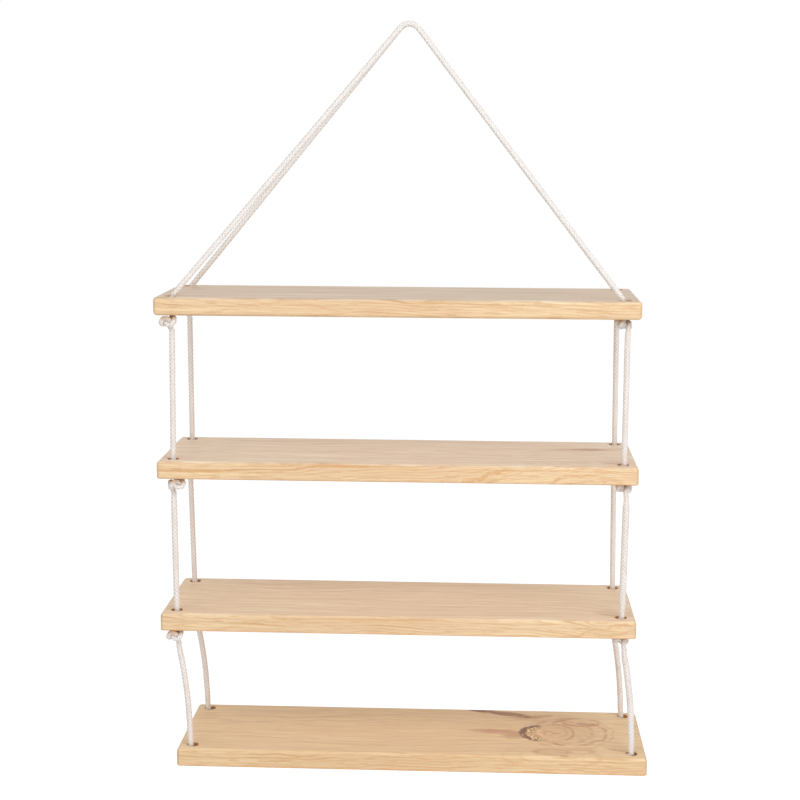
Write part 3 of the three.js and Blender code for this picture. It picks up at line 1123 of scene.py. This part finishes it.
# %% The pine recipe
def pine(level):
    """Planed and oiled pine for one board."""
    material, tree, shader = new_material(f"pine_{level}")
    place = follow("Mapping", {
        "Vector": object_place(tree),
        "Location": -PLACES[level] / MM,
        "Scale": (1 / MM, 1 / MM, 1 / MM),
    }).outputs[0]
    parts = parts_of(place)
    inputs = {"Place": place, **dict(zip(GROWTH_INPUTS, GROWTH[level]))}
    growth = follow("Group", inputs, node_tree=growth_group).outputs
    on_face = rise(parts["Z"], *TOP_FACE)
    face_colour_and_light, face_share, late_on_face, stripes, lower_edge_shade = TONES[level]
    wood = mix_colours(rise(growth["Patch"], *PATCHES), EARLY_WOOD, DULL_WOOD)
    # The top face takes its colour with painted sheen and shade, greyer than the fronts.
    wood = mix_colours(times(on_face, face_share), wood, face_colour_and_light)

    late = maths("MAXIMUM", growth["Late Wood"], times(growth["Streak"], STREAK_SHARE))
    fainter = rise(on_face, 0, 1, 1, late_on_face)
    late_share = times(rise(late, *LATE_SHARES), fainter)
    wood = mix_colours(late_share, wood, mix_colours(on_face, LATE_WOOD, FACE_LATE_WOOD))

    stripe = times(rise(growth["Stripe"], *STRIPE_SHADES), stripes)
    stripe_share = rise(on_face, 0, 1, FAINTEST_STRIPES, 1)
    stripe_shade = maths("MULTIPLY_ADD", stripe, stripe_share, 1)
    shade = times(rise(growth["Fibre"], *FIBRE_SHADES), stripe_shade)
    shades = [maths("POWER", shade, power) for power in DARKER_IS_WARMER]
    wood = mix_colours(1, wood, vector_of(*shades), "MULTIPLY")
    # Painted shade below the top face, growing towards the bottom board.
    front_shade = mix_colours(on_face, PAINTED_FRONT_SHADE.get(level, WHITE), WHITE)
    wood = mix_colours(1, wood, front_shade, "MULTIPLY")

    # Painted shade along the lower long edges.
    edge_shade_share = rise(parts["Z"], *LOWER_EDGE, lower_edge_shade, 0)
    near_edge = rise(maths("ABSOLUTE", parts["Y"]), *LONG_EDGES)
    end_share = rise(maths("ABSOLUTE", parts["X"]), *BOARD_ENDS, 0, END_SHARE)
    arcs = smears(place, GRAIN_LINES.get(level, ()), "Outline")
    amber = maths("MAXIMUM", smears(place, AMBER_MARKS[level]), arcs)
    amber = times(amber, rise(on_face, 0, 1, *AMBER_SHARES))
    layers = [
        (times(edge_shade_share, near_edge), PAINTED_EDGE_SHADE),
        (end_share, END_WOOD),
        (amber, LATE_WOOD),
        (smears(place, MARKS.get(level, ())), STAIN_AND_SHADOW_WOOD),
        (smears(place, BARK_MARKS.get(level, ())), BARK),
    ]
    if level == "bottom":
        layers.append((smears(place, BRANCH_LINES, "Outline"), RED_WOOD))
        layers.append((smears(place, BARK_LINES, "Outline"), DARK_BARK))
    for share, colour in layers:
        wood = mix_colours(share, wood, colour)
    if level == "bottom":
        wood = with_resin(wood, place)
    wood = mix_colours(hole_wall_mask(parts), wood, HOLE_WALL_WOOD)
    feed(shader.inputs, {
        "Base Color": wood,
        "Roughness": rise(growth["Late Wood"], 0, 1, *PINE_ROUGHNESS),
        "Specular IOR Level": PINE_SHINE,
        "Normal": bumped(plus(growth["Fibre"], growth["Late Wood"]), PINE_BUMP),
    })
    return material


for level, board in boards.items():
    board.data.materials.clear()
    board.data.materials.append(pine(level))
print("pine finishes:", len(boards))

# %% [markdown]
# ## Cotton braid
# The cotton is cream white on the crowns of the strands and tan in the grooves, where dust and
# shadow sit. The height of the weave was kept as an attribute when the patch was rolled up, so
# the grooves darken exactly where they are. Where a rope passes through a board, and just below
# it, it is painted brown: a painted shade under the board, warmed by light from the wood. Above
# the top board it is paler. Fine noise gives the spun fibres, and a little sheen the fuzz.

# %% The rope's finish
COTTON_CROWN = (0.95, 0.9, 0.855, 1)
COTTON_GROOVE = (0.68, 0.56, 0.49, 1)
COTTON_TINT = (0.91, 0.84, 0.78, 1)
# Painted shade: in each hole and just below each board the rope is painted brown, warmed by light
# from the wood.
PAINTED_SHADE_COTTON = (0.56, 0.32, 0.16, 1)
PAINTED_SHADE_SHARE = 0.7
PAINTED_SHADE_MIDDLE = 13.5 * MM
PAINTED_SHADE_FADE = (7.2 * MM, 11.8 * MM, 1, 0)
PALE_SLING_COTTON = (0.96, 0.94, 0.92, 1)
PALE_SLING_SHARE = 0.4
PALE_SLING_RISE = 20 * MM
GROOVE_FADE = (0.35, 0.85)
TINT_SCALE = 70
TINT_RANGE = (0.35, 0.75)
FUZZ_SCALE = 2200
FUZZ_SHADES = (0.3, 0.7, 0.88, 1.06)
COTTON_BUMP = 0.5
COTTON_ROUGHNESS = 0.92
COTTON_SHEEN = 0.15
COTTON_SHINE = 0.2


def under_board_shade_mask(height):
    """Painted shade on the rope: in each hole and just below it, under each board."""
    strongest = 0
    for level in LEVELS[:-1]:
        away = minus(height, PLACES[level].z - PAINTED_SHADE_MIDDLE)
        shaded = rise(maths("ABSOLUTE", away), *PAINTED_SHADE_FADE)
        strongest = maths("MAXIMUM", strongest, shaded)
    return times(strongest, PAINTED_SHADE_SHARE)


def cotton_braid():
    """Undyed cotton, braided."""
    material, tree, shader = new_material("cotton_braid")
    crown = add_node(tree, "Attribute", attribute_name="crown").outputs["Fac"]
    place = object_place(tree)
    fuzz = noise(place, FUZZ_SCALE, 3)
    tint = noise(place, TINT_SCALE, 2)
    cotton = mix_colours(rise(tint, *TINT_RANGE), COTTON_CROWN, COTTON_TINT)
    cotton = mix_colours(rise(crown, *GROOVE_FADE), COTTON_GROOVE, cotton)
    height = parts_of(place)["Z"]
    # Painted shade under each board, warmed by light from the wood.
    cotton = mix_colours(under_board_shade_mask(height), cotton, PAINTED_SHADE_COTTON)
    top = PLACES["top"].z
    paler = rise(height, top, top + PALE_SLING_RISE, 0, PALE_SLING_SHARE)
    cotton = mix_colours(paler, cotton, PALE_SLING_COTTON)
    shade = rise(fuzz, *FUZZ_SHADES)
    cotton = mix_colours(1, cotton, vector_of(shade, shade, shade), "MULTIPLY")
    feed(shader.inputs, {
        "Base Color": cotton,
        "Roughness": COTTON_ROUGHNESS,
        "Sheen Weight": COTTON_SHEEN,
        "Specular IOR Level": COTTON_SHINE,
        "Normal": bumped(fuzz, COTTON_BUMP),
    })
    return material


braid_finish = cotton_braid()
rope_pieces = [o for o in bpy.data.objects if o.get("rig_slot") == "cotton_rope"]
for rope in rope_pieces:
    rope.data.materials.clear()
    rope.data.materials.append(braid_finish)
print("rope pieces:", len(rope_pieces))

# %% [markdown]
# ## The room and the light
# The shelf hangs in front of white. The floor lies well below it, as under a shelf on a wall,
# and takes its soft shadow. Two large lamps stand high in front, the right one brighter, and a
# third one low in front lights the faces from below. The white surroundings fill the rest, and
# the camera sees them as pure white.

# %% The floor
FLOOR_HEIGHT = -1.35
FLOOR_SIZE = 14
FLOOR_COLOUR = (0.8, 0.8, 0.8, 1)
FLOOR_ROUGHNESS = 0.9
FLOOR_GLOW = 0.64


def seen_rays(tree):
    """1 for what the camera sees, directly or in a reflection or through glass."""
    rays = add_node(tree, "LightPath").outputs
    mirrored = maths("MAXIMUM", rays["Is Glossy Ray"], rays["Is Transmission Ray"])
    return maths("MAXIMUM", rays["Is Camera Ray"], mirrored)


deselect_all()
bpy.ops.mesh.primitive_plane_add(size=FLOOR_SIZE, location=(0, 0, FLOOR_HEIGHT))
floor = bpy.context.object
floor.name = "studio_floor"
floor_finish, floor_tree, floor_shader = new_material("studio_floor")
feed(floor_shader.inputs, {
    "Base Color": FLOOR_COLOUR,
    "Roughness": FLOOR_ROUGHNESS,
    "Emission Color": WHITE,
    "Emission Strength": times(seen_rays(floor_tree), FLOOR_GLOW),
})
floor.data.materials.append(floor_finish)
print("floor at, m:", FLOOR_HEIGHT)

# %% The white surroundings
AMBIENT = 0.45

world = bpy.data.worlds.new("white_surroundings")
bpy.context.scene.world = world
world.use_nodes = True
sky = world.node_tree
sky.nodes.clear()


def white_light(strength):
    """White surroundings of one strength."""
    return add_node(sky, "Background", {"Color": WHITE, "Strength": strength}).outputs[0]


light = follow("MixShader", {0: seen_rays(sky), 1: white_light(AMBIENT), 2: white_light(1)})
add_node(sky, "OutputWorld", {"Surface": light.outputs[0]})
print("world nodes:", len(sky.nodes))

# %% The lamps
SHELF_MIDDLE = Vector((0, 0, -0.4))
LAMPS = {
    "high_left_lamp": ((-1.4, -2.05, 1.3), 1.6, 16.5),
    "high_right_lamp": ((1.4, -1.9, 1.25), 1.5, 26),
    "low_front_lamp": ((0.7, -2.5, -0.9), 1.4, 17.4),
}


def soft_lamp(name, place, size, power):
    """A square area lamp that faces the middle of the shelf."""
    deselect_all()
    bpy.ops.object.light_add(type="AREA", location=place)
    lamp = bpy.context.object
    lamp.name = name
    lamp.data.shape = "SQUARE"
    lamp.data.size = size
    lamp.data.energy = power
    lamp.rotation_euler = (SHELF_MIDDLE - Vector(place)).to_track_quat("-Z", "Y").to_euler()


for name, values in LAMPS.items():
    soft_lamp(name, *values)
print("lamps:", len(LAMPS))

# %% [markdown]
# ## The last touches
# The picture is shown as the light gives it, with no film look.

# %% Finish
bpy.context.scene.view_settings.view_transform = "Standard"
